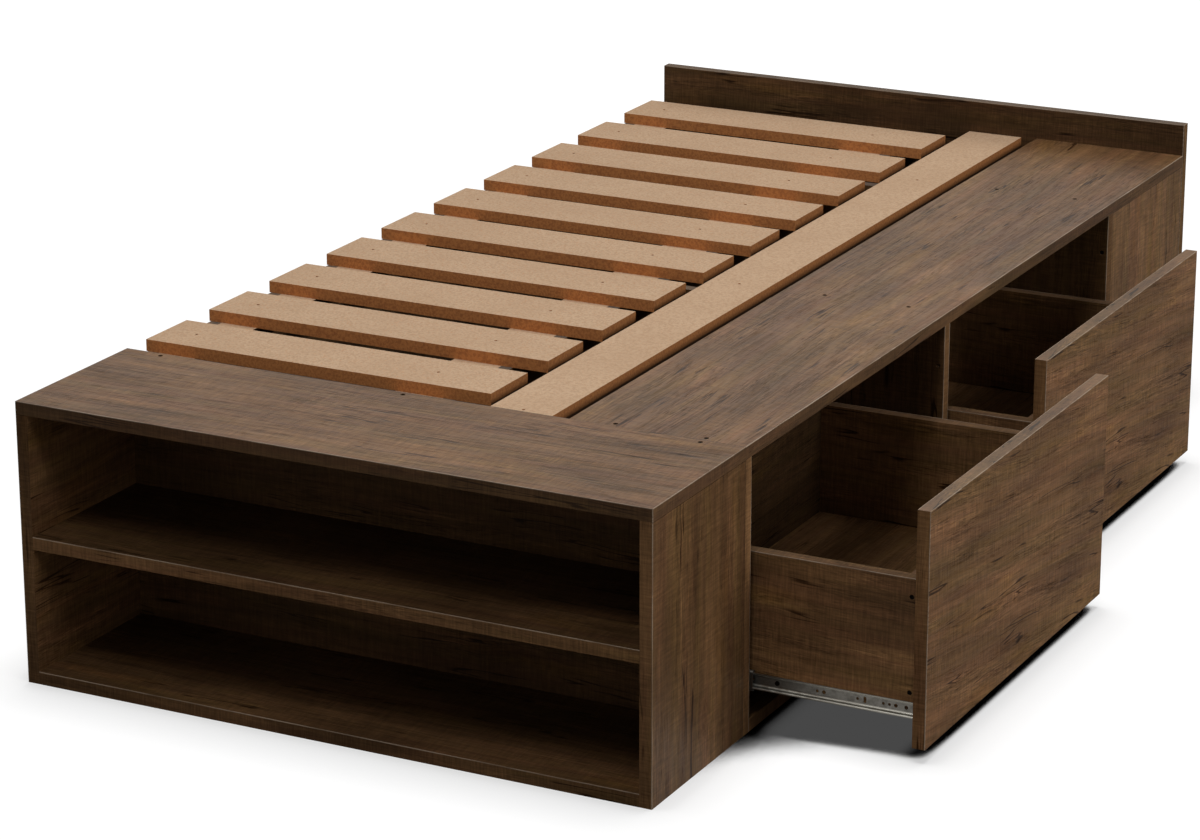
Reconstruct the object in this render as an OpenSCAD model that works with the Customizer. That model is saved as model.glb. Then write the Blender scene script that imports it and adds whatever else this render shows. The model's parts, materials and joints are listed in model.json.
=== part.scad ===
// Tatami platform bed: an open bookcase across the foot, a low cabinet with two deep drawers along
// the right side, a raised headboard, and a deck of loose fibreboard slats and one long plank.
// Lengths are millimetres. Sizes are laid out from the bed's left foot corner on the floor
// (x to the right, y from foot to head, z up); piece() then moves them to the model's origin.

/* [Bed] */
// Overall width
bed_w = 1000; // [900:5:1300]
// Overall length with the headboard
bed_l = 2074; // [1950:2:2300]
// Height of the deck above the floor
deck_h = 424; // [380:2:480]
// Height of the headboard's top edge above the floor
headboard_h = 478; // [440:2:800]
// Thickness of the laminated boards
board_t = 19; // [15:0.5:22]
// Thickness of the raw fibreboard slats, plank and cleats
slat_t = 18; // [12:0.5:22]

/* [Bookcase at the foot] */
// Depth of the bookcase with its back board
bookcase_d = 283; // [240:1:340]
// Height of the middle shelf's underside
shelf_z = 205; // [170:1:240]

/* [Drawer cabinet] */
// Depth of the cabinet from its open side to the far face of its back board
cabinet_d = 498; // [420:1:560]
// Width of the cabinet's closed top
cabinet_top_w = 270; // [200:1:320]
// Length of each drawer opening
opening_w = 685; // [600:1:720]
// Gap between the closing board at the head end and the headboard
filler_gap = 2; // [0.5:0.5:6]

/* [Deck] */
// Number of slats
slat_count = 10; // [8:1:11]
// Width of a slat
slat_w = 110; // [80:1:125]
// Gap between the first slat and the bookcase
first_slat_gap = 50; // [30:1:80]
// Gap between the last slat and the headboard
last_slat_gap = 52; // [30:1:80]
// How much wider the last gap between two slats is than the others
last_pitch_extra = 9; // [0:1:15]
// Gap between the slats' ends and the plank
slat_plank_gap = 25; // [5:1:40]
// Width of the long plank
plank_w = 98; // [70:1:120]
// Gap between the plank and the cabinet's top
plank_top_gap = 28; // [5:1:40]
// Gap at each end of the plank
plank_end_gap = 1; // [0.5:0.5:5]
// Distance of the left side board in from the slats' ends
left_inset = 3; // [0:1:30]
// Width of the cleat along the left side board
left_cleat_w = 62; // [40:1:90]
// Width of the cleat along the cabinet's back board
cabinet_cleat_w = 78; // [40:1:90]

/* [Drawers] */
// How far the drawer near the foot stands open
drawer_1_out = 263; // [0:1:440]
// How far the drawer near the head stands open
drawer_2_out = 156; // [0:1:440]
// Gap at each end of a drawer front
front_gap = 3.25; // [1:0.25:5]
// Gap beneath a drawer front
front_lift = 2; // [1:0.5:6]
// Finger gap above a drawer front
finger_gap = 39; // [20:1:60]
// Height of the drawer box
box_h = 200; // [120:1:230]
// Height of the box's lower edge above the front's lower edge
box_lift = 42; // [35:1:60]
// Space between the closed box and the cabinet's back board
box_back_gap = 10; // [5:1:40]
// Thickness of the drawer's bottom
drawer_bottom_t = 6; // [3:0.5:9]
// Depth of the groove that holds the drawer's bottom
groove_d = 7; // [4:0.5:9]
// Height of that groove above the box's lower edge
groove_lift = 20; // [16:1:40]
// Play of the bottom in its groove
groove_play = 0.2; // [0.1:0.05:0.5]

/* [Ball bearing slides] */
// Thickness of a closed slide, which is the gap beside the drawer box
slide_t = 13; // [12.5:0.1:14]
// Height of the rail on the cabinet
slide_h = 40; // [38:0.5:46]
// Thickness of the rolled steel
steel_t = 1.2; // [0.9:0.1:1.4]
// Diameter of the balls
ball_d = 3.5; // [3:0.1:3.6]
// Play between a ball and its track
ball_play = 0.1; // [0.05:0.05:0.2]
// Balls in one row
ball_count = 7; // [4:1:9]
// Distance between the balls in a row
ball_pitch = 24; // [12:1:24]
// Depth of the ball rows from the cabinet's board
ball_depth = 7.7; // [7.5:0.1:7.9]
// Space between the webs of the cabinet rail and the middle rail
web_gap = 1.4; // [1.2:0.1:1.6]
// Inner bend radius of the drawer rail
drawer_rail_bend = 4; // [3:0.1:4.1]
// Inner bend radius of the other rails
rail_bend = 1.5; // [1:0.1:2]
// How far the middle rail stands back from the other two when shut
middle_setback = 15; // [5:1:30]
// Height of the slide's centre line above the box's lower edge
slide_lift = 12; // [11:0.5:16]

/* [Screws] */
// Radius of a screw's shank
screw_r = 1.75; // [1.5:0.25:2.5]
// Radius of a countersunk head
head_r = 3.5; // [3:0.25:5]
// Radius of the shank of the thin screws in the slats and the plank
thin_screw_r = 1.25; // [1:0.25:1.5]
// Radius of a thin screw's head
thin_head_r = 2.25; // [2:0.25:3]
// Depth at which a head sits below the surface
head_sink = 0.6; // [0.2:0.1:1.5]
// Play round a screw in its hole
screw_play = 0.1; // [0.05:0.05:0.3]
// Length of the screws through the deck
deck_screw_l = 50; // [40:1:60]
// Length of the thin screws
thin_screw_l = 34; // [25:1:35]
// Length of the short screws that hold the slides
rail_screw_l = 14; // [10:1:14]
// Distance of the outer screws from the right edge of the deck
edge_screw_in = 64; // [40:1:90]
// Distance of the inner screws from the inner edge of the cabinet's top
inner_screw_in = 67; // [30:1:90]
// Distance of the bookcase top's middle screw to the left of the cabinet's back board
middle_screw_in = 32; // [-98:1:102]
// Distance of the screws that join the cross boards to their neighbours from the boards' two ends
joint_screw_in = 64; // [50:1:100]

/* [Hidden] */
$fn = 32;
laminate = [0.33, 0.26, 0.21];
fibreboard = [0.72, 0.60, 0.48];
zinc = [0.66, 0.67, 0.68];
black_screw = [0.09, 0.08, 0.08];
cut = 1;                                   // how far a cutting solid runs past a face

// Levels
cross_top = deck_h - board_t;              // top of the boards that run across the cabinet
support_top = deck_h - slat_t;             // top of what the slats lie on
headboard_y = bed_l - board_t;

// Cabinet
cabinet_x = bed_w - cabinet_d;             // far face of the cabinet's back board
cabinet_inside_x = cabinet_x + board_t;
foot_board_y = bookcase_d;
divider_y = foot_board_y + board_t + opening_w;
head_board_y = divider_y + board_t + opening_w;
function opening_y(d) = d == 1 ? foot_board_y + board_t : divider_y + board_t;

// Deck
cabinet_top_x = bed_w - cabinet_top_w;
plank_x = cabinet_top_x - plank_top_gap - plank_w;
slat_l = plank_x - slat_plank_gap;
slat_span = headboard_y - bookcase_d - first_slat_gap - last_slat_gap - slat_w;
slat_pitch = (slat_span - last_pitch_extra) / (slat_count - 1);
function slat_y(i) =
    bookcase_d + first_slat_gap + i * slat_pitch + (i == slat_count - 1 ? last_pitch_extra : 0);
left_cleat_x = left_inset + board_t;

// Drawers
front_z = board_t + front_lift;
front_top = cross_top - finger_gap;
box_z = front_z + box_lift;
box_l = cabinet_d - 2 * board_t - box_back_gap;
bottom_z = box_z + groove_lift;
groove_t = drawer_bottom_t + 2 * groove_play;
function out_of(d) = d == 1 ? drawer_1_out : drawer_2_out;
function box_front_x(d) = bed_w - board_t + out_of(d);
function side_y(d, end) =
    end == "foot" ? opening_y(d) + slide_t : opening_y(d) + opening_w - slide_t - board_t;

// Slides: each of the two stages of a slide travels half of its length
slide_z = box_z + slide_lift;
stage_travel = box_l / 2;
middle_l = box_l - middle_setback;
function middle_out(d) = max(0, out_of(d) - stage_travel);
function middle_front_x(d) = bed_w - board_t - middle_setback + middle_out(d);
track_r = ball_d / 2 + ball_play;
outer_row = slide_h / 2 - steel_t - track_r;
inner_row = outer_row - 2 * track_r - steel_t;
cage_t = 0.6;
cage_inset = 0.3;                          // how much narrower the cage is than its balls
cage_w = ball_d - cage_inset;
cage_l = (ball_count - 1) * ball_pitch + 2 * ball_d;
cage_end_gap = 10;
// Holes in a rail's web, by their distance from its end
small_holes = [38, 47, 85.5, 146, 206.5];
large_holes = [13, 28.5, 136];
slot_station = 74.5;
slot_half = 2.5;                           // from the slot's middle to its round ends' centres
rail_hole_play = 0.35;                     // play round a short screw in its small hole
small_hole_r = screw_r + rail_hole_play;
large_hole_r = small_hole_r + 0.7;
// The holes that screws use: on a drawer, and on the cabinet's boards for each drawer, where the two
// slides that share the divider use different holes so that their screws pass each other
drawer_stations = [small_holes[4], box_l - small_holes[2], box_l - small_holes[0]];
function cabinet_stations(d) = d == 1
    ? [small_holes[1], small_holes[4], box_l - small_holes[1]]
    : [small_holes[0], small_holes[3], box_l - small_holes[0]];

// Screws
tip_share = [2, 0.2];                      // a tip's length and end radius, over the shank's radius
recess_share = [1.1, 0.25, 0.4];           // length, width and depth of a cross, over the head's radius
rail_head_r = screw_r + 1.75;              // wider than the small holes, and within the rail's flat web
rail_head_t = 0.9;
rail_recess_d = 0.6;
side_screw_drop = 27;                      // upper screw below the box side's top edge
side_screw_rise = 34;                      // lower screw above the box side's lower edge
side_screw_l = 45;
front_screw_l = 32;
front_screw_in = 90;                       // from the ends of the box front
front_screw_rise = 30;                     // lower screw above the drawer's bottom
DOWN = [0, 0, 0];
TO_HEAD = [90, 0, 0];
TO_FOOT = [-90, 0, 0];
TO_RIGHT = [0, -90, 0];

// Origin: centre of the whole model's footprint on the floor, with the drawers as set above
centre_x = (bed_w + max(drawer_1_out, drawer_2_out)) / 2;
centre_y = bed_l / 2;

function two_digits(n) = n < 10 ? str("0", n) : str(n);
ENDS = ["foot", "head"];
RAILS = ["cabinet_rail", "middle_rail", "drawer_rail"];
DRAWER_PIECES = [
    "front", "box_front", "box_back", "foot_side", "head_side", "bottom", "screws", "slide_balls"
];

// ---------- Shared shapes ----------

// Colours a piece and moves it from the corner frame to the model's origin
module piece(tint) {
    color(tint) translate([-centre_x, -centre_y, 0]) children();
}

// A board given by its two opposite corners
module board(low, high) {
    translate(low) cube(high - low);
}

// A screw's shank and its tip, along -Z from the origin
module shank(length, r) {
    tip_l = tip_share[0] * r;
    translate([0, 0, tip_l - length]) cylinder(r = r, h = length - tip_l);
    translate([0, 0, -length]) cylinder(r1 = tip_share[1] * r, r2 = r, h = tip_l);
}

// The cross cut into a head of the given radius, down from the origin
module cross(head, depth) {
    arm = [recess_share[0] * head, recess_share[1] * head, depth + cut];
    for (turn = [0, 90]) rotate([0, 0, turn]) translate([-arm.x / 2, -arm.y / 2, -depth]) cube(arm);
}

// A countersunk screw along -Z, its head's top at the origin and its cone at 45 degrees
module screw(length, r = screw_r, head = head_r) {
    difference() {
        union() {
            shank(length, r);
            translate([0, 0, r - head]) cylinder(r1 = r, r2 = head, h = head - r);
        }
        cross(head, recess_share[2] * head);
    }
}

// The hole for such a screw: shank, countersink and the sunk part above the head
module screw_hole(length, r = screw_r, head = head_r) {
    mouth = head + screw_play;
    translate([0, 0, -length - screw_play]) cylinder(r = r + screw_play, h = length);
    translate([0, 0, r - mouth]) cylinder(r1 = r, r2 = mouth, h = mouth - r);
    cylinder(r = mouth, h = head_sink + cut);
}

// The hole under a rail for a short screw, from the surface of the board
module rail_screw_hole() {
    depth = rail_screw_l - steel_t + screw_play;
    translate([0, 0, -depth]) cylinder(r = screw_r + screw_play, h = depth + cut);
}

module thin_screw() {
    screw(thin_screw_l, thin_screw_r, thin_head_r);
}

module thin_screw_hole() {
    screw_hole(thin_screw_l, thin_screw_r, thin_head_r);
}

// Puts what is drawn along -Z at each point, turned to the given direction
module at_each(points, turn) {
    for (p = points) translate(p) rotate(turn) children();
}

// The same for a screw or its hole, sunk below the surface that the points lie on
module sunk_at_each(points, turn) {
    at_each(points, turn) translate([0, 0, -head_sink]) children();
}

// ---------- Where the screws are ----------

function slat_screw_points(i) = [
    for (x = [left_cleat_x + left_cleat_w / 2, cabinet_x - cabinet_cleat_w / 2])
        [x, slat_y(i) + slat_w / 2, deck_h]
];
all_slat_points = [for (i = [0:slat_count - 1]) for (p = slat_screw_points(i)) p];
cross_board_lines = [for (y = [foot_board_y, divider_y, head_board_y]) y + board_t / 2];
bookcase_top_points = [
    for (x = [edge_screw_in, cabinet_x - middle_screw_in, bed_w - edge_screw_in])
        [x, bookcase_d - board_t / 2, deck_h]
];
cabinet_top_points = [
    for (y = cross_board_lines)
        for (x = [cabinet_top_x + inner_screw_in, bed_w - edge_screw_in]) [x, y, deck_h]
];
plank_points = [for (y = cross_board_lines) [plank_x + plank_w / 2, y, cross_top + slat_t]];
joint_levels = [joint_screw_in, cross_top - joint_screw_in];
function joint_points(y) = [for (z = joint_levels) [bed_w - board_t / 2, y, z]];

function rail_screw_points(d, end, stations, front_x, depth) = [
    for (s = stations)
        [front_x - s, end == "foot" ? opening_y(d) + depth : opening_y(d) + opening_w - depth, slide_z]
];
function cabinet_rail_screws(d, end, depth) =
    rail_screw_points(d, end, cabinet_stations(d), bed_w - board_t, depth);
function drawer_rail_screws(d, end, depth) =
    rail_screw_points(d, end, drawer_stations, box_front_x(d), depth);
function side_screw_points(d, end) = [
    for (x = [box_front_x(d) - board_t / 2, box_front_x(d) - box_l + board_t / 2])
        for (z = [box_z + side_screw_rise, box_z + box_h - side_screw_drop])
            [x, end == "foot" ? side_y(d, "foot") : side_y(d, "head") + board_t, z]
];
function front_screw_points(d) = [
    for (y = [side_y(d, "foot") + board_t + front_screw_in, side_y(d, "head") - front_screw_in])
        for (z = [bottom_z + front_screw_rise, box_z + box_h - side_screw_drop])
            [box_front_x(d) - board_t, y, z]
];

// ---------- Bookcase ----------

module bookcase_top() {
    piece(laminate) difference() {
        board([0, 0, cross_top], [bed_w, bookcase_d, deck_h]);
        sunk_at_each(bookcase_top_points, DOWN) screw_hole(deck_screw_l);
    }
}

module bookcase_bottom() {
    piece(laminate) board([board_t, 0, 0], [bed_w - board_t, bookcase_d - board_t, board_t]);
}

module bookcase_left_side() {
    piece(laminate) board([0, 0, 0], [board_t, bookcase_d, cross_top]);
}

module bookcase_right_side() {
    piece(laminate) difference() {
        board([bed_w - board_t, 0, 0], [bed_w, bookcase_d, cross_top]);
        sunk_at_each(joint_points(foot_board_y + board_t), TO_FOOT) screw_hole(deck_screw_l);
    }
}

module bookcase_shelf() {
    piece(laminate)
        board([board_t, 0, shelf_z], [bed_w - board_t, bookcase_d - board_t, shelf_z + board_t]);
}

module bookcase_back() {
    piece(laminate) difference() {
        board([board_t, bookcase_d - board_t, 0], [bed_w - board_t, bookcase_d, cross_top]);
        sunk_at_each(bookcase_top_points, DOWN) screw_hole(deck_screw_l);
    }
}

// ---------- Drawer cabinet ----------

// One of the three boards across the cabinet, drilled alike for the deck and for its neighbours
module cross_board(y) {
    piece(laminate) difference() {
        board([cabinet_inside_x, y, 0], [bed_w, y + board_t, cross_top]);
        sunk_at_each(cabinet_top_points, DOWN) screw_hole(deck_screw_l);
        sunk_at_each(plank_points, DOWN) thin_screw_hole();
        if (y == foot_board_y) sunk_at_each(joint_points(y + board_t), TO_FOOT) screw_hole(deck_screw_l);
        else sunk_at_each(joint_points(y), TO_HEAD) screw_hole(deck_screw_l);
        for (d = [1, 2]) {
            at_each(cabinet_rail_screws(d, "foot", 0), TO_FOOT) rail_screw_hole();
            at_each(cabinet_rail_screws(d, "head", 0), TO_HEAD) rail_screw_hole();
        }
    }
}

module cabinet_foot_board() {
    cross_board(foot_board_y);
}

module cabinet_divider() {
    cross_board(divider_y);
}

module cabinet_head_board() {
    cross_board(head_board_y);
}

module cabinet_back_board() {
    piece(laminate) board([cabinet_x, bookcase_d, 0], [cabinet_inside_x, headboard_y, support_top]);
}

module cabinet_bottom(d) {
    piece(laminate) board([cabinet_inside_x, opening_y(d), 0], [bed_w, opening_y(d) + opening_w, board_t]);
}

module cabinet_top() {
    piece(laminate) difference() {
        board([cabinet_top_x, bookcase_d, cross_top], [bed_w, headboard_y, deck_h]);
        sunk_at_each(cabinet_top_points, DOWN) screw_hole(deck_screw_l);
    }
}

module cabinet_filler() {
    piece(laminate) difference() {
        board([bed_w - board_t, head_board_y + board_t, 0], [bed_w, headboard_y - filler_gap, cross_top]);
        sunk_at_each(joint_points(head_board_y), TO_HEAD) screw_hole(deck_screw_l);
    }
}

// ---------- Deck and its supports ----------

module left_side_board() {
    piece(laminate) board([left_inset, bookcase_d, 0], [left_cleat_x, headboard_y, support_top]);
}

module cleat(x, w) {
    piece(fibreboard) difference() {
        board([x, bookcase_d, support_top - slat_t], [x + w, headboard_y, support_top]);
        sunk_at_each(all_slat_points, DOWN) thin_screw_hole();
    }
}

module left_cleat() {
    cleat(left_cleat_x, left_cleat_w);
}

module cabinet_cleat() {
    cleat(cabinet_x - cabinet_cleat_w, cabinet_cleat_w);
}

module slat(i) {
    piece(fibreboard) difference() {
        board([0, slat_y(i), support_top], [slat_l, slat_y(i) + slat_w, deck_h]);
        sunk_at_each(slat_screw_points(i), DOWN) thin_screw_hole();
    }
}

module deck_plank() {
    piece(fibreboard) difference() {
        board(
            [plank_x, bookcase_d + plank_end_gap, cross_top],
            [plank_x + plank_w, headboard_y - plank_end_gap, cross_top + slat_t]
        );
        sunk_at_each(plank_points, DOWN) thin_screw_hole();
    }
}

module headboard() {
    piece(laminate) board([0, headboard_y, 0], [bed_w, bed_l, headboard_h]);
}

// ---------- Drawers ----------

module drawer_front(d) {
    x = box_front_x(d);
    piece(laminate) difference() {
        board(
            [x, opening_y(d) + front_gap, front_z],
            [x + board_t, opening_y(d) + opening_w - front_gap, front_top]
        );
        sunk_at_each(front_screw_points(d), TO_RIGHT) screw_hole(front_screw_l);
    }
}

// The groove in the four boards of a drawer box, which holds its bottom
module bottom_groove(d, play) {
    low_y = side_y(d, "foot") + board_t - groove_d;
    high_y = side_y(d, "head") + groove_d;
    board(
        [box_front_x(d) - box_l + board_t - groove_d + play, low_y + play, bottom_z - groove_play + play],
        [box_front_x(d) - board_t + groove_d - play, high_y - play, bottom_z + groove_t - groove_play - play]
    );
}

module drawer_side(d, end) {
    y = side_y(d, end);
    piece(laminate) difference() {
        board([box_front_x(d) - box_l, y, box_z], [box_front_x(d), y + board_t, box_z + box_h]);
        bottom_groove(d, 0);
        inwards = end == "foot" ? TO_HEAD : TO_FOOT;
        sunk_at_each(side_screw_points(d, end), inwards) screw_hole(side_screw_l);
        at_each(drawer_rail_screws(d, end, slide_t), inwards) rail_screw_hole();
    }
}

// The board of the box behind the drawer's front, and the one at its back
module box_end(d, x) {
    piece(laminate) difference() {
        board([x, side_y(d, "foot") + board_t, box_z], [x + board_t, side_y(d, "head"), box_z + box_h]);
        bottom_groove(d, 0);
        sunk_at_each(side_screw_points(d, "foot"), TO_HEAD) screw_hole(side_screw_l);
        sunk_at_each(side_screw_points(d, "head"), TO_FOOT) screw_hole(side_screw_l);
        sunk_at_each(front_screw_points(d), TO_RIGHT) screw_hole(front_screw_l);
    }
}

module drawer_bottom(d) {
    piece(laminate) bottom_groove(d, groove_play);
}

// ---------- Ball bearing slides ----------
// Profiles are drawn with x as the depth from the cabinet's board and y as the height.

// A quarter of a bent strip round a centre, in the quadrant that the two signs name
module bend(centre, inner_r, side_x, side_y) {
    outer_r = inner_r + steel_t;
    translate(centre) intersection() {
        difference() {
            circle(r = outer_r);
            circle(r = inner_r);
        }
        translate([side_x > 0 ? 0 : -outer_r, side_y > 0 ? 0 : -outer_r]) square(outer_r);
    }
}

module strip(low, high) {
    translate(low) square(high - low);
}

// Draws the upper half of a profile and its mirror image below
module both_halves() {
    children();
    mirror([0, 1]) children();
}

module cabinet_rail_profile() {
    flange = slide_h / 2 - steel_t;
    corner = [steel_t + rail_bend, flange - rail_bend];
    both_halves() {
        strip([0, 0], [steel_t, corner.y]);
        bend(corner, rail_bend, -1, 1);
        strip([corner.x, flange], [ball_depth, slide_h / 2]);
        bend([ball_depth, outer_row], track_r, 1, 1);
    }
}

module middle_rail_profile() {
    web = steel_t + web_gap;
    flange = inner_row + track_r;
    corner = [web + steel_t + rail_bend, flange - rail_bend];
    both_halves() {
        strip([web, 0], [web + steel_t, corner.y]);
        bend(corner, rail_bend, -1, 1);
        strip([corner.x, flange], [ball_depth, flange + steel_t]);
        bend([ball_depth, inner_row], track_r, 1, 1);
    }
}

module drawer_rail_profile() {
    web = slide_t - steel_t;
    flange = inner_row - track_r;
    corner = [web - drawer_rail_bend, flange - steel_t - drawer_rail_bend];
    both_halves() {
        strip([web, 0], [slide_t, corner.y]);
        bend(corner, drawer_rail_bend, 1, 1);
        if (corner.x > ball_depth) strip([ball_depth, flange - steel_t], [corner.x, flange]);
        bend([ball_depth, inner_row], track_r, -1, -1);
    }
}

// Lays what is drawn in slide terms (x outwards, y from the cabinet's board, z up from the centre
// line) against one end of a drawer's opening, with its front end at the given place
module against(d, end, front_x) {
    y = end == "foot" ? opening_y(d) : opening_y(d) + opening_w;
    translate([front_x, y, slide_z]) mirror([0, end == "foot" ? 0 : 1, 0]) children();
}

module rolled(length) {
    translate([-length, 0, 0]) rotate([90, 0, 90]) linear_extrude(height = length) children();
}

module web_hole(place, r) {
    translate([-place.x, -cut, place.y]) rotate([-90, 0, 0]) cylinder(r = r, h = slide_t + 2 * cut);
}

// The rows of holes in a rail's web, the same from either end, and its slot near the front
module web_holes(length) {
    for (s = small_holes) for (x = [s, length - s]) web_hole([x, 0], small_hole_r);
    for (s = large_holes) for (x = [s, length - s]) web_hole([x, 0], large_hole_r);
    for (z = [-slot_half, slot_half]) web_hole([slot_station, z], small_hole_r);
    translate([-slot_station - small_hole_r, -cut, -slot_half])
        cube([2 * small_hole_r, slide_t + 2 * cut, 2 * slot_half]);
}

module cabinet_rail(d, end) {
    piece(zinc) against(d, end, bed_w - board_t) difference() {
        rolled(box_l) cabinet_rail_profile();
        web_holes(box_l);
    }
}

// A row of balls in its cage, running inwards from x = 0
module ball_row(height) {
    stations = [for (i = [0:ball_count - 1]) -ball_d - i * ball_pitch];
    difference() {
        translate([-cage_l, ball_depth - cage_w / 2, height - cage_t / 2]) cube([cage_l, cage_w, cage_t]);
        for (x = stations) translate([x, ball_depth, height - ball_d])
            cylinder(r = ball_d / 2 + ball_play, h = 2 * ball_d);
    }
    for (x = stations) translate([x, ball_depth, height]) sphere(r = ball_d / 2);
}

// The four rows of one slide, which travel with its middle rail: the outer rows at its rear end
// run in the cabinet rail, and the inner rows at its front end run in the drawer rail
module slide_balls(d) {
    for (end = ENDS) piece(zinc) against(d, end, middle_front_x(d)) for (side = [-1, 1]) {
        translate([cage_l + cage_end_gap - middle_l, 0, 0]) ball_row(side * outer_row);
        translate([-cage_end_gap, 0, 0]) ball_row(side * inner_row);
    }
}

module middle_rail(d, end) {
    piece(zinc) against(d, end, middle_front_x(d)) difference() {
        rolled(middle_l) middle_rail_profile();
        web_holes(middle_l);
    }
}

module drawer_rail(d, end) {
    piece(zinc) against(d, end, box_front_x(d)) difference() {
        rolled(box_l) drawer_rail_profile();
        web_holes(box_l);
    }
}

// A short screw with a low flat head, along -Z, its head's underside at the origin
module rail_screw() {
    difference() {
        union() {
            cylinder(r = rail_head_r, h = rail_head_t);
            shank(rail_screw_l, screw_r);
        }
        translate([0, 0, rail_head_t]) cross(rail_head_r, rail_recess_d);
    }
}

// ---------- Fasteners, grouped by what they move with ----------

module slat_screws() {
    piece(black_screw) sunk_at_each(concat(all_slat_points, plank_points), DOWN) thin_screw();
}

module deck_screws() {
    piece(black_screw)
        sunk_at_each(concat(bookcase_top_points, cabinet_top_points), DOWN) screw(deck_screw_l);
}

module cabinet_screws() {
    piece(black_screw) {
        sunk_at_each(joint_points(foot_board_y + board_t), TO_FOOT) screw(deck_screw_l);
        sunk_at_each(joint_points(head_board_y), TO_HEAD) screw(deck_screw_l);
        for (d = [1, 2]) {
            at_each(cabinet_rail_screws(d, "foot", steel_t), TO_FOOT) rail_screw();
            at_each(cabinet_rail_screws(d, "head", steel_t), TO_HEAD) rail_screw();
        }
    }
}

module drawer_screws(d) {
    piece(black_screw) {
        sunk_at_each(side_screw_points(d, "foot"), TO_HEAD) screw(side_screw_l);
        sunk_at_each(side_screw_points(d, "head"), TO_FOOT) screw(side_screw_l);
        sunk_at_each(front_screw_points(d), TO_RIGHT) screw(front_screw_l);
        at_each(drawer_rail_screws(d, "foot", slide_t - steel_t), TO_HEAD) rail_screw();
        at_each(drawer_rail_screws(d, "head", slide_t - steel_t), TO_FOOT) rail_screw();
    }
}

// ---------- The model ----------

module drawer_piece(d, name) {
    if (name == "front") drawer_front(d);
    if (name == "box_front") box_end(d, box_front_x(d) - board_t);
    if (name == "box_back") box_end(d, box_front_x(d) - box_l);
    if (name == "foot_side") drawer_side(d, "foot");
    if (name == "head_side") drawer_side(d, "head");
    if (name == "bottom") drawer_bottom(d);
    if (name == "screws") drawer_screws(d);
    if (name == "slide_balls") slide_balls(d);
}

module rail_piece(d, end, name) {
    if (name == "cabinet_rail") cabinet_rail(d, end);
    if (name == "middle_rail") middle_rail(d, end);
    if (name == "drawer_rail") drawer_rail(d, end);
}

bookcase_top();
bookcase_bottom();
bookcase_left_side();
bookcase_right_side();
bookcase_shelf();
bookcase_back();
cabinet_foot_board();
cabinet_divider();
cabinet_head_board();
cabinet_back_board();
cabinet_bottom(1);  // cabinet_bottom_1
cabinet_bottom(2);  // cabinet_bottom_2
cabinet_top();
cabinet_filler();
left_side_board();
left_cleat();
cabinet_cleat();
deck_plank();
headboard();
for (i = [1:slat_count]) slat(i - 1);
slat_screws();
deck_screws();
cabinet_screws();
for (d = [1, 2]) for (p = DRAWER_PIECES)
    drawer_piece(d, p);
for (d = [1, 2]) for (e = ENDS) for (r = RAILS)
    rail_piece(d, e, r);
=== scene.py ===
import json
import math

import bpy
from mathutils import Matrix, Vector


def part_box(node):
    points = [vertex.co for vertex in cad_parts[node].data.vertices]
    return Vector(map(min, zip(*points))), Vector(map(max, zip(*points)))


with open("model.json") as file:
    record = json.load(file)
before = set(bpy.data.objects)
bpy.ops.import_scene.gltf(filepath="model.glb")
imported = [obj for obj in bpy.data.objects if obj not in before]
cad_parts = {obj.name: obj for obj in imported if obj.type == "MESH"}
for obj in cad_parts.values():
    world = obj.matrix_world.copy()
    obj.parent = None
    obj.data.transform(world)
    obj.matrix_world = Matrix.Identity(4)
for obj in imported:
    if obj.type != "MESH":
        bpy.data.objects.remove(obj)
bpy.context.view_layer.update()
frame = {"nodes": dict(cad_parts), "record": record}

# Everything is in metres. The photograph's camera was solved from the bed's left foot corner on the floor.
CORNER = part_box("bookcase_left_side")[0]
CAMERA_FROM_CORNER = Vector((3.1779, -4.3861, 2.1549))
CAMERA_TURN = math.radians(27.2057)
CAMERA_TILT = math.radians(71.8042)
CAMERA_ROLL = math.radians(-0.0685)
CAMERA_REACH = 100.0
# The lens and the width of the camera's frame, in millimetres
CAMERA_LENS = 120.267
CAMERA_FRAME = 36.0

AXES = "XYZ"
# Which way the printed grain runs on each board, and which way the board is thin
GRAIN = {
    "bookcase_top": "XZ", "bookcase_bottom": "XZ", "bookcase_shelf": "XZ", "bookcase_back": "XY",
    "bookcase_left_side": "YX", "bookcase_right_side": "ZX", "headboard": "XY",
    "cabinet_foot_board": "ZY", "cabinet_divider": "ZY", "cabinet_head_board": "ZY",
    "cabinet_back_board": "YX", "cabinet_bottom_1": "YZ", "cabinet_bottom_2": "YZ",
    "cabinet_top": "YZ", "cabinet_filler": "ZX", "left_side_board": "YX",
}
DRAWER_GRAIN = {
    "front": "YX", "box_front": "YX", "box_back": "YX",
    "foot_side": "XY", "head_side": "XY", "bottom": "YZ",
}
DRAWERS = (1, 2)
# How far the print is moved under each next board, and under each next board of a drawer
BOARD_SHIFT = (0.37, 0.61, 0.23)
DRAWER_BOARD_SHIFT = 1.31
# Boards whose grain runs a little out of line, as metres across for each metre along
SLANT = {"front": 0.12, "bookcase_top": -0.02, "foot_side": 0.03, "cabinet_filler": 0.02}
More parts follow.
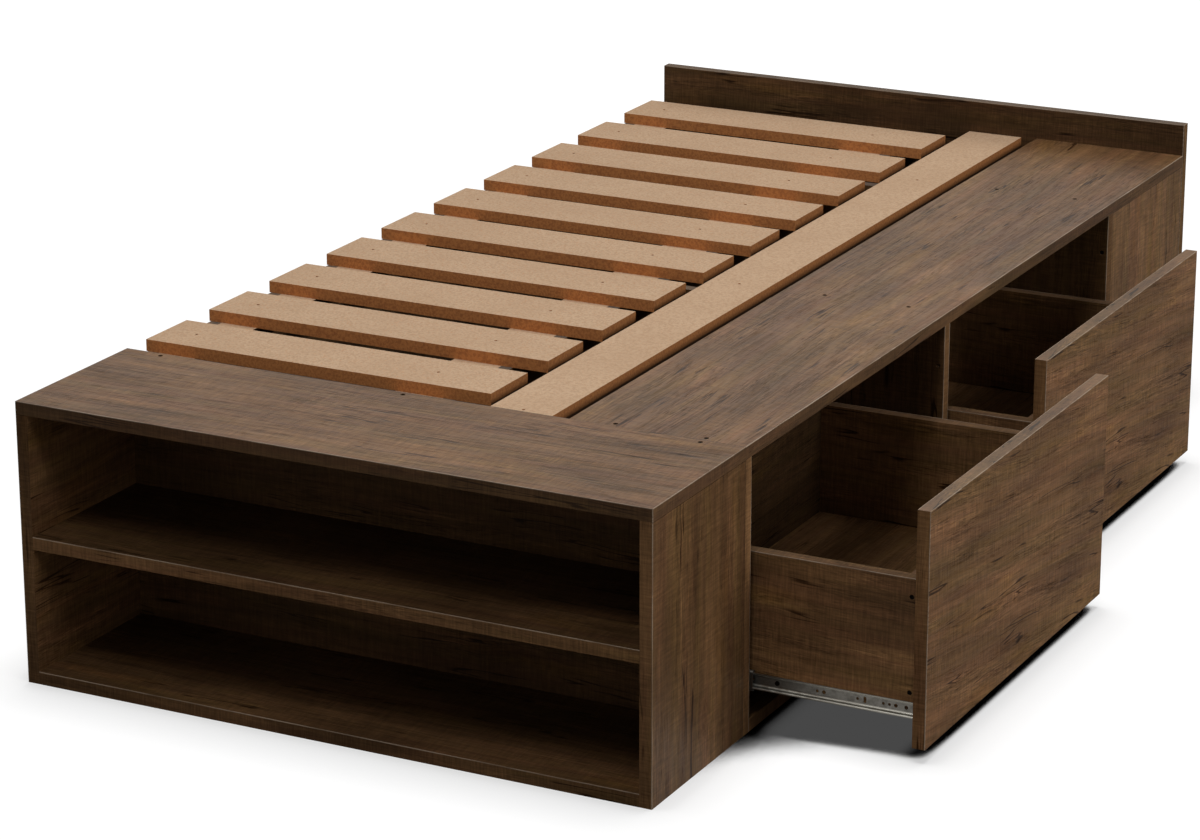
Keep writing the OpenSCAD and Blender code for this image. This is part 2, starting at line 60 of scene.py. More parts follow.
# How light a board's print is on its faces and on its edges: partly the print's own tone, which differs
# from board to board, and partly painted shade and light, as on the darker box backs, shelf, back boards
# and headboard and on the lighter inner face of the bookcase's left side
TONE_AND_PAINTED_SHADE = {
    "headboard": (0.55, 0.8), "cabinet_top": (1.05, 0.60), "bookcase_top": (1.10, 0.58),
    "bookcase_left_side": (1.75, 0.85), "bookcase_right_side": (0.90, 1.29),
    "bookcase_back": (0.8, 0.6), "bookcase_shelf": (0.42, 1.12), "bookcase_bottom": (0.6, 0.75),
    "cabinet_back_board": (0.6, 0.6), "cabinet_foot_board": (0.8, 1.2),
    "cabinet_divider": (0.7, 1.0), "cabinet_head_board": (0.7, 1.0),
    "front": (1.12, 1.50), "cabinet_filler": (1.06, 1.0),
    "foot_side": (1.36, 1.0), "head_side": (1.36, 1.0), "box_back": (0.22, 0.8),
}
PLAIN_TONE = (1.0, 1.0)
# Arrises painted with a pale line that stands in for a highlight, each named by the two sides of the board
# that meet there
HIGHLIT_ARRISES = {
    "bookcase_top": ("X+Z+", "Y-Z+", "X+Y-"), "bookcase_shelf": ("Y-Z+",), "bookcase_bottom": ("Y-Z+",),
    "bookcase_right_side": ("X+Y-",), "bookcase_left_side": ("X-Y-",),
    "cabinet_top": ("X+Z+",), "cabinet_foot_board": ("X+Y+",), "cabinet_divider": ("X+Y-", "X+Y+"),
    "cabinet_head_board": ("X+Y-",), "headboard": ("Y-Z+", "X+Z+", "X+Y-"),
    "front": ("X+Z+", "X+Y-", "X-Z+"), "foot_side": ("Y-Z+",), "head_side": ("Y+Z+",),
}
# Arrises that meet a flush neighbour, where the joint is darkened
SEAMS = {
    "bookcase_right_side": ("X+Y+", "X+Z+"), "bookcase_left_side": ("Y-Z+",),
    "bookcase_top": ("Y+Z+",), "cabinet_filler": ("X+Y-", "X+Z+"), "box_front": ("X+Z+",),
}
# How wide the line along an arris is, and what share of it is at full strength
LINE_WIDTH = 0.0014
LINE_CORE = 0.4
# Specular level, where it isn't LAMINATE_GLOSS
GLOSS = {"bookcase_top": 0.12, "cabinet_top": 0.12, "front": 0.01, "cabinet_filler": 0.01}
LAMINATE_GLOSS = 0.06
# Share of painted sheen on an edge that faces up, for the parts that don't take the share below: a grey
# mixed into the colour in place of the reflection of the bright surroundings
PAINTED_SHEEN = {"foot_side": 0.08, "head_side": 0.08, "box_front": 0.08, "box_back": 0.08}
UP_PAINTED_SHEEN = 0.35
# A surface faces an axis where its direction's share along it is above this
FACING = 0.7
# How deep the relief of each material is
BOARD_RELIEF = 0.00018
STEEL_RELIEF = 0.00004
SCREW_RELIEF = 0.00003


# ---------- Shader building ----------

def add(tree, kind, inputs=None, **settings):
    """A node with its settings, and its inputs given as values or as sockets to link."""
    node = tree.nodes.new(kind)
    for name, value in settings.items():
        setattr(node, name, value)
    for key, value in (inputs or {}).items():
        if isinstance(value, bpy.types.NodeSocket):
            tree.links.new(value, node.inputs[key])
        else:
            node.inputs[key].default_value = value
    return node


def maths(tree, operation, first, second=0.0):
    return add(tree, "ShaderNodeMath", {0: first, 1: second}, operation=operation).outputs[0]


def scaled(tree, vector, scale):
    return add(tree, "ShaderNodeVectorMath", {0: vector, 1: scale}, operation="MULTIPLY").outputs[0]


def moved(tree, vector, offset):
    return add(tree, "ShaderNodeVectorMath", {0: vector, 1: offset}, operation="ADD").outputs[0]


def parted(tree, vector):
    return add(tree, "ShaderNodeSeparateXYZ", {0: vector}).outputs


def joined(tree, first, second, third):
    return add(tree, "ShaderNodeCombineXYZ", {0: first, 1: second, 2: third}).outputs[0]


def here(tree):
    """A point's place on its piece, and the way the surface faces there."""
    coordinates = add(tree, "ShaderNodeTexCoord").outputs
    return coordinates["Object"], coordinates["Normal"]


def noise(tree, vector, detail, roughness):
    inputs = {"Vector": vector, "Scale": 1.0, "Detail": detail, "Roughness": roughness}
    return add(tree, "ShaderNodeTexNoise", inputs).outputs["Fac"]


def grit(tree, place, repeats, detail, roughness):
    """A noise that repeats alike in all directions, with its repeats for each metre."""
    return noise(tree, scaled(tree, place, (repeats, repeats, repeats)), detail, roughness)


def spread(tree, value, low, high, to_low=0.0, to_high=1.0):
    """Maps low..high to to_low..to_high, smoothly and clamped."""
    inputs = {"Value": value, "From Min": low, "From Max": high, "To Min": to_low, "To Max": to_high}
    return add(tree, "ShaderNodeMapRange", inputs, interpolation_type="SMOOTHSTEP").outputs[0]


def mixed(tree, factor, first, second, blend="MIX"):
    inputs = {0: factor, 6: first, 7: second}
    settings = {"data_type": "RGBA", "blend_type": blend, "clamp_factor": True}
    return add(tree, "ShaderNodeMix", inputs, **settings).outputs[2]


def tinted(tree, colour, mask, tint):
    return mixed(tree, mask, colour, tint, "MULTIPLY")


def faces(tree, share):
    """1 where a surface faces an axis, either way, from its direction's share along that axis."""
    return maths(tree, "GREATER_THAN", maths(tree, "ABSOLUTE", share), FACING)


def rgb(red, green, blue):
    return (red, green, blue, 1.0)


def grey(level):
    return rgb(level, level, level)


def group_tree(name, inputs, outputs):
    tree = bpy.data.node_groups.new(name, "ShaderNodeTree")
    for label, kind in inputs:
        tree.interface.new_socket(label, in_out="INPUT", socket_type=kind)
    for label, kind in outputs:
        tree.interface.new_socket(label, in_out="OUTPUT", socket_type=kind)
    return tree, tree.nodes.new("NodeGroupInput"), tree.nodes.new("NodeGroupOutput")


def surface(name, roughness, metallic=0.0, specular=0.5):
    """A material with its Principled shader, whose even values sit on the shader itself."""
    material = bpy.data.materials.new(name)
    material.use_nodes = True
    shader = material.node_tree.nodes["Principled BSDF"]
    shader.inputs["Roughness"].default_value = roughness
    shader.inputs["Metallic"].default_value = metallic
    shader.inputs["Specular IOR Level"].default_value = specular
    return material, material.node_tree, shader


def connect(tree, shader, colour, roughness, height, depth):
    bump = add(tree, "ShaderNodeBump", {"Strength": 1.0, "Distance": depth, "Height": height})
    tree.links.new(colour, shader.inputs["Base Color"])
    tree.links.new(roughness, shader.inputs["Roughness"])
    tree.links.new(bump.outputs[0], shader.inputs["Normal"])


# ---------- The printed oak ----------

PRINT = rgb(0.1170, 0.0605, 0.0262)
OLIVE = rgb(0.99, 1.03, 0.94)
MAUVE = rgb(1.01, 0.96, 1.00)
GOLD = rgb(1.05, 1.03, 0.89)
CHARCOAL = rgb(0.66, 0.63, 0.58)
PORE = rgb(0.50, 0.46, 0.42)
KNOT = rgb(0.22, 0.18, 0.14)
SEAM = rgb(0.30, 0.26, 0.23)
# The pale line along arrises: a painted highlight
ARRIS_HIGHLIGHT = rgb(0.350, 0.268, 0.196)
# The grey mixed into edges that face up: a painted sheen standing in for the reflection of the surroundings
EDGE_SHEEN = rgb(0.210, 0.195, 0.175)

# The print's noises: repeats for each metre along the grain and across it, detail, roughness, and how
# far a noise is moved so that it doesn't match another one. The first ones run straight along the
# board, and the others follow the grain as it strays and bends round the knots.
STRAIGHT_NOISES = {
    "wander": (2.2, 4.0, 2.0, 0.50, None),
    "cloud": (4.0, 13.0, 3.0, 0.55, None),
    "saw": (360.0, 30.0, 2.0, 0.55, None),
    "patchy": (4.0, 15.0, 2.0, 0.50, (4.3, 2.9, 1.3)),
    "run": (7.0, 34.0, 1.0, 0.50, (7.0, 5.0, 2.0)),
}
BENT_NOISES = {
    "flame": (4.5, 90.0, 3.0, 0.60, None),
    "strand": (7.0, 300.0, 2.0, 0.60, None),
    "tick": (45.0, 640.0, 2.0, 0.60, None),
    "busy": (5.0, 24.0, 3.0, 0.60, (5.9, 0.7, 3.3)),
    "figure": (1.6, 12.0, 2.0, 0.45, None),
    "hue": (2.4, 34.0, 3.0, 0.55, (3.1, 1.7, 0.9)),
    "soot": (8.0, 38.0, 3.0, 0.60, (8.3, 5.1, 2.7)),
    "pores": (34.0, 760.0, 1.0, 0.50, None),
    "lines": (5.0, 105.0, 1.0, 0.50, (1.9, 6.1, 3.7)),
}
# How far from an even tone each noise takes the print, and those that do so by how busy it is there
TONES = {"cloud": 1.7, "flame": 1.15, "saw": 1.1}
BUSY_TONES = {"strand": 1.0, "tick": 1.3}
# Tints in long bands and in patches: the noise, where the tint starts and is full, how much, its colour
TINTS = (
    ("hue", 0.52, 0.62, 1.0, OLIVE),
    ("hue", 0.48, 0.38, 1.0, MAUVE),
    ("patchy", 0.57, 0.70, 1.0, GOLD),
    ("soot", 0.57, 0.70, 0.45, CHARCOAL),
)
# Knots for each metre along the grain and across it
KNOTS = (2.2, 4.6, 4.6)
# How far the grain strays by itself from one side to the other, and how far it bends at a knot
WANDER_REACH = 0.030
KNOT_REACH = 0.010
# How fast the growth lines follow each other as their noise rises
GROWTH_LINES = 230.0
# Edges are at least as rough as this
EDGE_ROUGHNESS = 0.85


def print_space(tree, given):
    """The place on the board as the print sees it, and 1 on a face. An end edge has its band's
    grain along the edge, not through it."""
    along, across, through = parted(tree, given["Place"])
    slanted = maths(tree, "ADD", across, maths(tree, "MULTIPLY", along, given["Slant"]))
    face = joined(tree, along, slanted, through)
    turned = joined(tree, across, along, through)
    facing = parted(tree, given["Facing"])
    choice = add(tree, "ShaderNodeMix", {0: faces(tree, facing[0]), 4: face, 5: turned}, data_type="VECTOR")
    return choice.outputs[1], faces(tree, facing[2])


def print_noises(tree, space, rows):
    """The noises of a table by their names, each as it is in this space."""
    noises = {}
    for name, (along, across, detail, roughness, shift) in rows.items():
        place = moved(tree, space, shift) if shift else space
        noises[name] = noise(tree, scaled(tree, place, (along, across, across)), detail, roughness)
    return noises


def print_fields(tree, straight):
    """Every noise of the print by its name, and "eye" and "halo": the heart of a knot and the
    darker wood round it."""
    knots = {"Vector": scaled(tree, straight, KNOTS), "Scale": 1.0}
    distance = add(tree, "ShaderNodeTexVoronoi", knots).outputs["Distance"]
    fields = print_noises(tree, straight, STRAIGHT_NOISES)
    fields["eye"] = spread(tree, distance, 0.008, 0.022, 0.9, 0.0)
    fields["halo"] = spread(tree, distance, 0.015, 0.13, 1.0, 0.0)
    stray = maths(tree, "MULTIPLY", maths(tree, "SUBTRACT", fields["wander"], 0.5), WANDER_REACH)
    bend = maths(tree, "ADD", stray, maths(tree, "MULTIPLY", fields["halo"], KNOT_REACH))
    grain = moved(tree, straight, joined(tree, 0.0, bend, bend))
    return fields | print_noises(tree, grain, BENT_NOISES)


def print_light(tree, fields, busy, level):
    """How light the print is, from wide clouds down to the finest fibres, times the board's own level,
    which holds its print tone and its painted shade.
    """
    tone = 0.0
    for name, weight in TONES.items():
        share = maths(tree, "MULTIPLY", maths(tree, "SUBTRACT", fields[name], 0.5), weight)
        tone = maths(tree, "ADD", tone, share)
    for name, weight in BUSY_TONES.items():
        share = maths(tree, "MULTIPLY", maths(tree, "SUBTRACT", fields[name], 0.5), weight)
        tone = maths(tree, "ADD", tone, maths(tree, "MULTIPLY", share, busy))
    # Growth lines: level lines of a long, lazy noise
    rings = maths(tree, "SINE", maths(tree, "MULTIPLY", fields["figure"], GROWTH_LINES))
    ring_share = spread(tree, fields["patchy"], 0.42, 0.62, 0.0, 0.07)
    tone = maths(tree, "SUBTRACT", tone, maths(tree, "MULTIPLY", ring_share, rings))
    return maths(tree, "MULTIPLY", maths(tree, "EXPONENT", tone), level)


def laminate_group():
    """A printed dark oak with its grain along the first axis. Place and Facing are a place and a
    face's direction in the board's own order: along the grain, across it, through the board."""
    tree, source, target = group_tree(
        "dark_oak_print",
        [
            ("Place", "NodeSocketVector"), ("Facing", "NodeSocketVector"),
            ("Slant", "NodeSocketFloat"), ("Face", "NodeSocketFloat"), ("Edge", "NodeSocketFloat"),
            ("Highlight", "NodeSocketFloat"), ("Seam", "NodeSocketFloat"), ("Up_sheen", "NodeSocketFloat"),
        ],
        [("Colour", "NodeSocketColor"), ("Roughness", "NodeSocketFloat"), ("Height", "NodeSocketFloat")],
    )
    given = source.outputs
    straight, on_face = print_space(tree, given)
    fields = print_fields(tree, straight)
    busy = spread(tree, fields["busy"], 0.42, 0.70, 0.35, 1.40)
    # The board's level on faces and on edges: its print tone together with painted shade or light
    shade = add(tree, "ShaderNodeMix", {0: on_face, 2: given["Edge"], 3: given["Face"]}, data_type="FLOAT")
    light = print_light(tree, fields, busy, shade.outputs[0])

    colour = PRINT
    for name, start, full, most, tint in TINTS:
        colour = tinted(tree, colour, spread(tree, fields[name], start, full, 0.0, most), tint)

    # Pores, cracks and knots
    pore_edge = spread(tree, fields["flame"], 0.35, 0.60, 0.42, 0.34)
    pore_mask = spread(tree, maths(tree, "SUBTRACT", fields["pores"], pore_edge), 0.03, -0.05)
    pore_share = maths(tree, "MULTIPLY", pore_mask, maths(tree, "MULTIPLY", busy, 0.65))
    colour = tinted(tree, colour, pore_share, PORE)
    from_line = maths(tree, "ABSOLUTE", maths(tree, "SUBTRACT", fields["lines"], 0.5))
    line = spread(tree, from_line, 0.010, 0.042, 1.0, 0.0)
    crack = maths(tree, "MULTIPLY", line, spread(tree, fields["run"], 0.58, 0.66))
    colour = tinted(tree, colour, crack, KNOT)
    colour = tinted(tree, colour, maths(tree, "MULTIPLY", fields["halo"], 0.35), CHARCOAL)
    colour = tinted(tree, colour, fields["eye"], KNOT)
    colour = add(tree, "ShaderNodeVectorMath", {0: colour, "Scale": light}, operation="SCALE").outputs[0]

    # Painted sheen on the edges that face up, painted highlights along arrises, and dark joints
    on_edge = maths(tree, "SUBTRACT", 1.0, on_face)
    colour = mixed(tree, maths(tree, "MULTIPLY", on_edge, given["Up_sheen"]), colour, EDGE_SHEEN)
    # Painted highlight along the named arrises, broken up by the grain
    arris_highlight = maths(tree, "MULTIPLY", given["Highlight"], spread(tree, fields["strand"], 0.36, 0.60, 0.35, 0.90))
    colour = mixed(tree, arris_highlight, colour, ARRIS_HIGHLIGHT)
    colour = tinted(tree, colour, given["Seam"], SEAM)

    height = maths(tree, "SUBTRACT", fields["tick"], maths(tree, "MULTIPLY", pore_mask, 0.7))
    height = maths(tree, "SUBTRACT", height, crack)
    sheen = spread(tree, fields["strand"], 0.35, 0.65, 0.50, 0.40)
    rough = maths(tree, "ADD", maths(tree, "MULTIPLY", pore_mask, 0.14), sheen)
    rough = maths(tree, "MAXIMUM", rough, maths(tree, "MULTIPLY", on_edge, EDGE_ROUGHNESS))
    tree.links.new(colour, target.inputs["Colour"])
    tree.links.new(rough, target.inputs["Roughness"])
    tree.links.new(height, target.inputs["Height"])
    return tree


# ---------- Laminated boards ----------

def board_order(grain, thin):
    """The axes along the grain, across it and through the board, as numbers."""
    across = next(axis for axis in AXES if axis not in (grain, thin))
    return [AXES.index(axis) for axis in (grain, across, thin)]


def reordered(tree, vector, order):
    parts = parted(tree, vector)
    return joined(tree, *(parts[axis] for axis in order))


def near_lines(tree, place, box, lines):
    """1 on the named arrises of the box, each given as two of its sides, and 0 away from them."""
    parts = parted(tree, place)
    near = 0.0
    for line in lines:
        gaps = []
        for axis, side in (line[:2], line[2:]):
            level = box[side == "+"][AXES.index(axis)]
            gaps.append(maths(tree, "SUBTRACT", parts[AXES.index(axis)], level))
        across = joined(tree, gaps[0], gaps[1], 0.0)
        distance = add(tree, "ShaderNodeVectorMath", {0: across}, operation="LENGTH").outputs["Value"]
        on_line = spread(tree, distance, LINE_CORE * LINE_WIDTH, LINE_WIDTH, 1.0, 0.0)
        near = maths(tree, "MAXIMUM", on_line, near)
    return near


def laminate(print_group, name, part, grain, thin, offset):
    """The laminate of one board: grain and thin name axes, and offset moves the print under it."""
    material, tree, shader = surface(name, 0.45, specular=GLOSS.get(part, LAMINATE_GLOSS))
    order = board_order(grain, thin)
    place, normal = here(tree)
    printed = add(tree, "ShaderNodeGroup", node_tree=print_group)
    for label, lines in (("Highlight", HIGHLIT_ARRISES), ("Seam", SEAMS)):
        if part in lines:
            near = near_lines(tree, place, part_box(name), lines[part])
            tree.links.new(near, printed.inputs[label])
    # Edges that face up take a painted sheen
    up = maths(tree, "GREATER_THAN", parted(tree, normal)[2], FACING)
    tree.links.new(maths(tree, "MULTIPLY", up, PAINTED_SHEEN.get(part, UP_PAINTED_SHEEN)), printed.inputs["Up_sheen"])
    printed.inputs["Slant"].default_value = SLANT.get(part, 0.0)
    # The board's print tone, with painted shade or light on some boards
    face, edge = TONE_AND_PAINTED_SHADE.get(part, PLAIN_TONE)
    printed.inputs["Face"].default_value = face
    printed.inputs["Edge"].default_value = edge
    tree.links.new(moved(tree, reordered(tree, place, order), offset), printed.inputs["Place"])
    tree.links.new(reordered(tree, normal, order), printed.inputs["Facing"])
    colour, roughness, height = (printed.outputs[label] for label in ("Colour", "Roughness", "Height"))
    connect(tree, shader, colour, roughness, height, BOARD_RELIEF)
    return material


# ---------- Fibreboard, steel and screws ----------

BOARD_FACE = rgb(0.530, 0.368, 0.241)
BOARD_FACE_DARK = rgb(0.405, 0.263, 0.162)
BOARD_EDGE = rgb(0.510, 0.208, 0.068)
BOARD_EDGE_DARK = rgb(0.360, 0.135, 0.048)
# The near black of the painted shade on the boards' ends
BOARD_END_SHADE = rgb(0.030, 0.016, 0.008)
# How much of a direction is along an axis where the look of that side starts, and where it is full
ROUNDING = (0.75, 0.98)
# Painted shade on the ends of the deck's boards: two heights over their underside, and its share at each
END_SHADE = ((0.013, 0.004, 0.46, 0.68), (0.0050, 0.0025, 0.0, 0.94))

ZINC_LIGHT = rgb(0.126, 0.118, 0.104)
ZINC_DARK = rgb(0.088, 0.082, 0.071)
ZINC_LINE = rgb(0.080, 0.075, 0.066)
# The paler colour of the painted highlight where the rail curls
ZINC_CURL_HIGHLIGHT = rgb(0.340, 0.326, 0.286)
# Rolling lines for each metre along the rail and across it
ROLLING = (9.0, 900.0, 900.0)

# The light and the dark colour of each kind of screw head
BLACK_HEAD = (rgb(0.014, 0.011, 0.009), rgb(0.006, 0.005, 0.004))
BROWN_HEAD = (rgb(0.085, 0.042, 0.022), rgb(0.045, 0.021, 0.011))


def fibreboard():
    """Raw fibreboard: sanded pale faces, browner and coarser edges, and ends that are darker, with painted
    shade that deepens toward their foot, down in the gap between two boards, until it is nearly black
    there."""
    material, tree, shader = surface("raw_fibreboard", 0.75, specular=0.06)
    place, normal = here(tree)
    facing = parted(tree, normal)
    face, end = (spread(tree, maths(tree, "ABSOLUTE", facing[axis]), *ROUNDING) for axis in (2, 0))
    clouds = grit(tree, place, 7.0, 3.0, 0.55)
    fibres = grit(tree, place, 240.0, 4.0, 0.7)
    specks = grit(tree, place, 520.0, 2.0, 0.6)
    face_colour = mixed(tree, spread(tree, clouds, 0.35, 0.70, 0.0, 0.30), BOARD_FACE, BOARD_FACE_DARK)
    face_colour = mixed(tree, spread(tree, fibres, 0.58, 0.36, 0.0, 0.80), face_colour, BOARD_FACE_DARK)
    face_colour = mixed(tree, spread(tree, specks, 0.42, 0.28, 0.0, 0.8), face_colour, BOARD_EDGE)
    edge_colour = mixed(tree, spread(tree, fibres, 0.60, 0.36), BOARD_EDGE, BOARD_EDGE_DARK)
    height = parted(tree, place)[2]
    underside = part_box("deck_plank")[0][2]
    for top, foot, at_top, at_foot in END_SHADE:
        # Painted shade on the ends, deepening toward their foot
        end_shade = spread(tree, height, underside + top, underside + foot, at_top, at_foot)
        edge_colour = mixed(tree, maths(tree, "MULTIPLY", end, end_shade), edge_colour, BOARD_END_SHADE)
    colour = mixed(tree, face, edge_colour, face_colour)
    connect(tree, shader, colour, spread(tree, fibres, 0.3, 0.7, 0.82, 0.70), fibres, BOARD_RELIEF)
    return material


def zinc_steel():
    """Zinc plated rolled steel: faint rolling lines along the rail, a mottled plating, and a paler colour
    where the rail curls to face up or down, which is a painted highlight."""
    material, tree, shader = surface("zinc_plated_steel", 0.34, metallic=1.0)
    place, normal = here(tree)
    lines = noise(tree, scaled(tree, place, ROLLING), 3.0, 0.6)
    mottle = grit(tree, place, 110.0, 3.0, 0.6)
    colour = mixed(tree, spread(tree, mottle, 0.35, 0.65), ZINC_DARK, ZINC_LIGHT)
    colour = mixed(tree, spread(tree, lines, 0.62, 0.38, 0.0, 0.35), colour, ZINC_LINE)
    # Painted highlight where the rail curls to face up or down
    curl_highlight = spread(tree, maths(tree, "ABSOLUTE", parted(tree, normal)[2]), 0.15, 0.60)
    colour = mixed(tree, curl_highlight, colour, ZINC_CURL_HIGHLIGHT)
    connect(tree, shader, colour, spread(tree, mottle, 0.3, 0.7, 0.42, 0.28), lines, STEEL_RELIEF)
    return material


def screw_finish(name, light, dark):
    material, tree, shader = surface(name, 0.80, specular=0.0)
    place, _ = here(tree)
    grime = grit(tree, place, 700.0, 3.0, 0.6)
    colour = mixed(tree, spread(tree, grime, 0.35, 0.65), dark, light)
    connect(tree, shader, colour, spread(tree, grime, 0.3, 0.7, 0.70, 0.95), grime, SCREW_RELIEF)
    return material


# ---------- Dressing the nodes ----------

def dress(node, material):
    piece = frame["nodes"][node]
    if not piece.material_slots:
        piece.data.materials.append(material)
    for slot in piece.material_slots:
        slot.material = material


def dress_boards():
    print_group = laminate_group()
    for index, (node, (grain, thin)) in enumerate(GRAIN.items()):
        offset = [shift * index for shift in BOARD_SHIFT]
        dress(node, laminate(print_group, node, node, grain, thin, offset))
    for drawer in DRAWERS:
        for index, (part, (grain, thin)) in enumerate(DRAWER_GRAIN.items()):
            node = f"drawer_{drawer}_{part}"
            # Both drawers are cut alike, so both show the same print
            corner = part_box(node)[0]
            start = [-corner[axis] for axis in board_order(grain, thin)]
            offset = [place + DRAWER_BOARD_SHIFT * (index + 1) for place in start]
            dress(node, laminate(print_group, node, part, grain, thin, offset))


def dress_rest():
    finishes = {
        "fibreboard": fibreboard(),
        "zinc_steel": zinc_steel(),
        "screw": screw_finish("black_screw", *BLACK_HEAD),
    }
    for row in frame["record"]["subparts"]:
        if row["material_slot"] in finishes:
            dress(row["node"], finishes[row["material_slot"]])
    dress("slat_screws", screw_finish("slat_screw", *BROWN_HEAD))


# ---------- Floor, light and camera ----------

FLOOR_SIZE = 30.0
# How pale the floor is to the light that it throws back, and where it is seen lit
FLOOR_BOUNCE = 0.10
FLOOR_SHADED = 0.42
# The floor's glow near the bed, and the faint painted glow in the shadow under the drawers
FLOOR_GLOW = 0.54
FLOOR_GLOOM = 0.063
# How far from a point of the floor something over it still counts, and how many rays look for it
FLOOR_CONTACT = (0.25, 48)
FLOOR_HEADROOM = (0.045, 16)
# What share of those rays is free where each look of the floor starts, and where it is full. Where fewer
# are free, the floor's seen paleness and its glow fade out, which paints a contact shadow
SHADED_FROM = (0.34, 0.47)
GLOW_FROM = (0.37, 0.47)
GLOOM_FROM = (0.72, 0.97)
# How far from the bed's middle the glow starts to rise to white, and where it is white
GLOW_RISE = (1.8, 6.0)
WORLD_LIGHT = 0.20
# name, place, the point it looks at, size, power in watts, what it lights, whether it shows in gloss
LAMPS = (
    ("overhead", (0.13, 0.0, 5.0), (0.13, 0.0, 0.0), 2.6, 32.0, "object", True),
    ("right", (5.6, 0.3, 3.3), (0.3, 0.0, 0.2), 3.0, 235.0, "object", True),
    ("front", (0.5, -3.4, 5.6), (0.1, -0.6, 0.3), 2.4, 129.0, "object", True),
    ("back", (-2.6, 5.2, 3.6), (0.0, 0.0, 0.2), 3.0, 110.0, "object", False),
    ("floor", (0.13, 0.0, 12.0), (0.13, 0.0, 0.0), 6.2, 1420.0, "floor", False),
)


def mix_seen(tree, others, seen):
    """The last shader for rays from the camera and for those mirrored or let through by a surface,
    and the first one for the rays that carry light."""
    path = add(tree, "ShaderNodeLightPath")
    eye = maths(tree, "MAXIMUM", path.outputs["Is Camera Ray"], path.outputs["Is Glossy Ray"])
    eye = maths(tree, "MAXIMUM", eye, path.outputs["Is Transmission Ray"])
    return add(tree, "ShaderNodeMixShader", {0: eye, 1: others, 2: seen}).outputs[0]


def floor_plane():
    mesh = bpy.data.meshes.new("floor")
    half = FLOOR_SIZE / 2
    corners = [(-half, -half, 0), (half, -half, 0), (half, half, 0), (-half, half, 0)]
    mesh.from_pydata(corners, [], [(0, 1, 2, 3)])
    floor = bpy.data.objects.new("floor", mesh)
    bpy.context.scene.collection.objects.link(floor)
    return floor


def under_slats(tree, place):
    """1 on the floor under the slats, inside the walls, and 0 elsewhere."""
    axes = parted(tree, place)
    inside = 1.0
    for axis, low, high in (
        (0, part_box("left_side_board")[1][0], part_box("cabinet_back_board")[0][0]),
        (1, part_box("bookcase_back")[1][1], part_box("headboard")[0][1]),
    ):
        inside = maths(tree, "MULTIPLY", inside, maths(tree, "GREATER_THAN", axes[axis], low))
        inside = maths(tree, "MULTIPLY", inside, maths(tree, "LESS_THAN", axes[axis], high))
    return inside


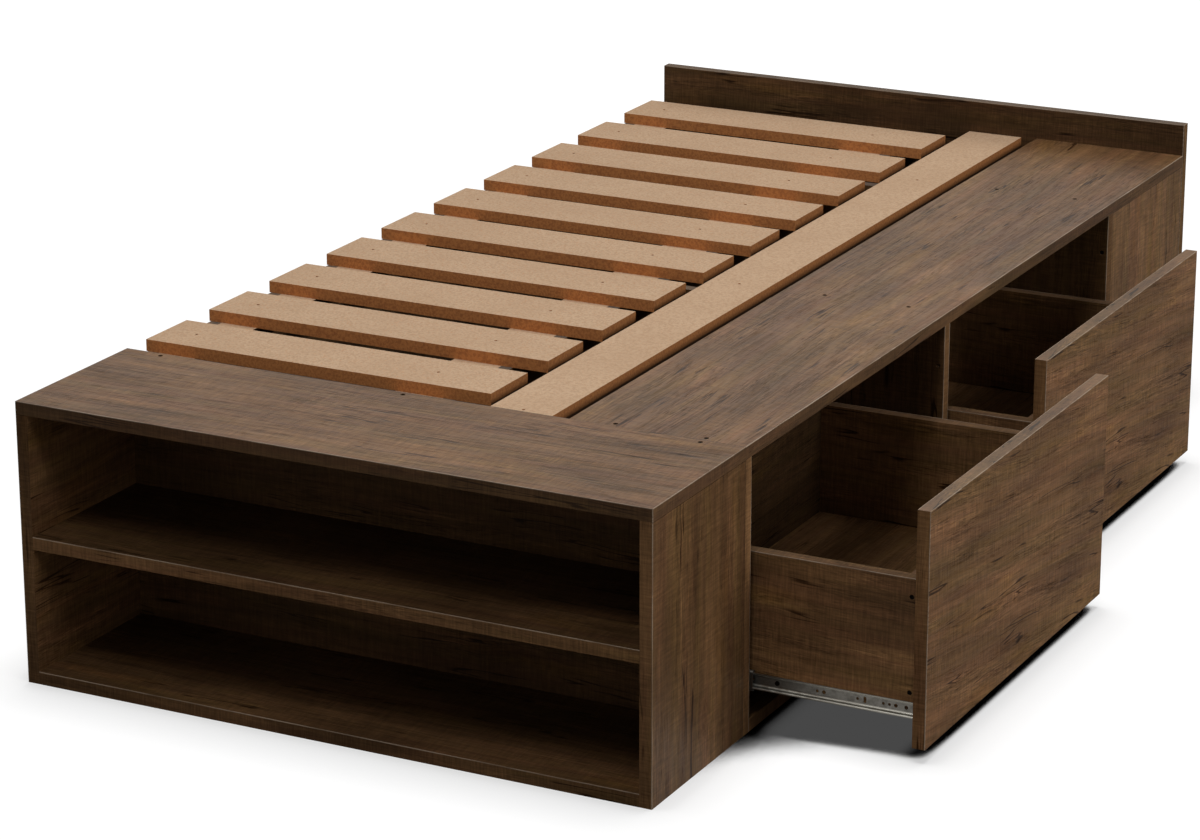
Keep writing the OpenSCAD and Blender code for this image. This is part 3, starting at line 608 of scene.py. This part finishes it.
def make_floor():
    """A pale floor that glows a little where it is seen, so that it meets the white background. Where
    something stands close over the floor, the glow and the floor's seen paleness fade out, a painted
    contact shadow; a faint painted glow is left under the drawers, and there is no glow under the slats.
    The rest of it takes shadows."""
    floor = floor_plane()
    material = bpy.data.materials.new("floor")
    material.use_nodes = True
    tree = material.node_tree
    tree.nodes.clear()
    openness, headroom = (
        add(tree, "ShaderNodeAmbientOcclusion", {"Distance": reach}, samples=samples).outputs["AO"]
        for reach, samples in (FLOOR_CONTACT, FLOOR_HEADROOM)
    )
    place, _ = here(tree)
    distance = add(tree, "ShaderNodeVectorMath", {0: place}, operation="LENGTH").outputs["Value"]
    rising = spread(tree, distance, *GLOW_RISE, FLOOR_GLOW, 1.0)
    # Painted contact shadow: the glow fades where something stands close over the floor
    glow = maths(tree, "MULTIPLY", spread(tree, openness, *GLOW_FROM), rising)
    glow = maths(tree, "ADD", glow, spread(tree, headroom, *GLOOM_FROM, 0.0, FLOOR_GLOOM))
    glow = maths(tree, "MULTIPLY", glow, maths(tree, "SUBTRACT", 1.0, under_slats(tree, place)))
    # Painted contact shadow: the floor's seen paleness fades the same way
    level = spread(tree, openness, *SHADED_FROM, 0.0, FLOOR_SHADED)
    shaded = add(tree, "ShaderNodeBsdfDiffuse", {"Color": joined(tree, level, level, level)}).outputs[0]
    bounce = add(tree, "ShaderNodeBsdfDiffuse", {"Color": grey(FLOOR_BOUNCE)}).outputs[0]
    lit = add(tree, "ShaderNodeEmission", {"Color": grey(1.0), "Strength": glow}).outputs[0]
    seen = add(tree, "ShaderNodeAddShader", {0: shaded, 1: lit}).outputs[0]
    output = add(tree, "ShaderNodeOutputMaterial")
    tree.links.new(mix_seen(tree, bounce, seen), output.inputs["Surface"])
    floor.data.materials.append(material)
    return floor


def make_world():
    world = bpy.data.worlds.new("studio")
    world.use_nodes = True
    tree = world.node_tree
    tree.nodes.clear()
    lit, seen = (
        add(tree, "ShaderNodeBackground", {"Color": grey(1.0), "Strength": level}).outputs[0]
        for level in (WORLD_LIGHT, 1.0)
    )
    output = add(tree, "ShaderNodeOutputWorld")
    tree.links.new(mix_seen(tree, lit, seen), output.inputs["Surface"])
    bpy.context.scene.world = world


def make_lamps(floor):
    """The lamps. One lights the floor alone, straight from above as its shadow in the photograph
    is, and the others light the object alone."""
    receivers = {}
    for lit, state in (("floor", "INCLUDE"), ("object", "EXCLUDE")):
        receivers[lit] = bpy.data.collections.new(lit + "_lamps")
        receivers[lit].objects.link(floor)
        receivers[lit].collection_objects[0].light_linking.link_state = state
    for name, place, target, size, power, lit, glossy in LAMPS:
        lamp = bpy.data.lights.new(name, "AREA")
        lamp.shape = "DISK"
        lamp.size = size
        lamp.energy = power
        holder = bpy.data.objects.new(name, lamp)
        holder.location = place
        direction = Vector(target) - Vector(place)
        holder.rotation_euler = direction.to_track_quat("-Z", "Y").to_euler()
        holder.visible_glossy = glossy
        holder.light_linking.receiver_collection = receivers[lit]
        bpy.context.scene.collection.objects.link(holder)


def make_camera():
    camera = bpy.data.cameras.new("camera")
    camera.lens = CAMERA_LENS
    camera.sensor_width = CAMERA_FRAME
    camera.clip_end = CAMERA_REACH
    holder = bpy.data.objects.new("camera", camera)
    holder.location = CORNER + CAMERA_FROM_CORNER
    turn = Matrix.Rotation(CAMERA_TURN, 3, "Z") @ Matrix.Rotation(CAMERA_TILT, 3, "X")
    holder.rotation_euler = (turn @ Matrix.Rotation(CAMERA_ROLL, 3, "Z")).to_euler()
    bpy.context.scene.collection.objects.link(holder)
    bpy.context.scene.camera = holder


make_camera()
dress_boards()
dress_rest()
make_world()
make_lamps(make_floor())
bpy.context.scene.view_settings.view_transform = "Standard"
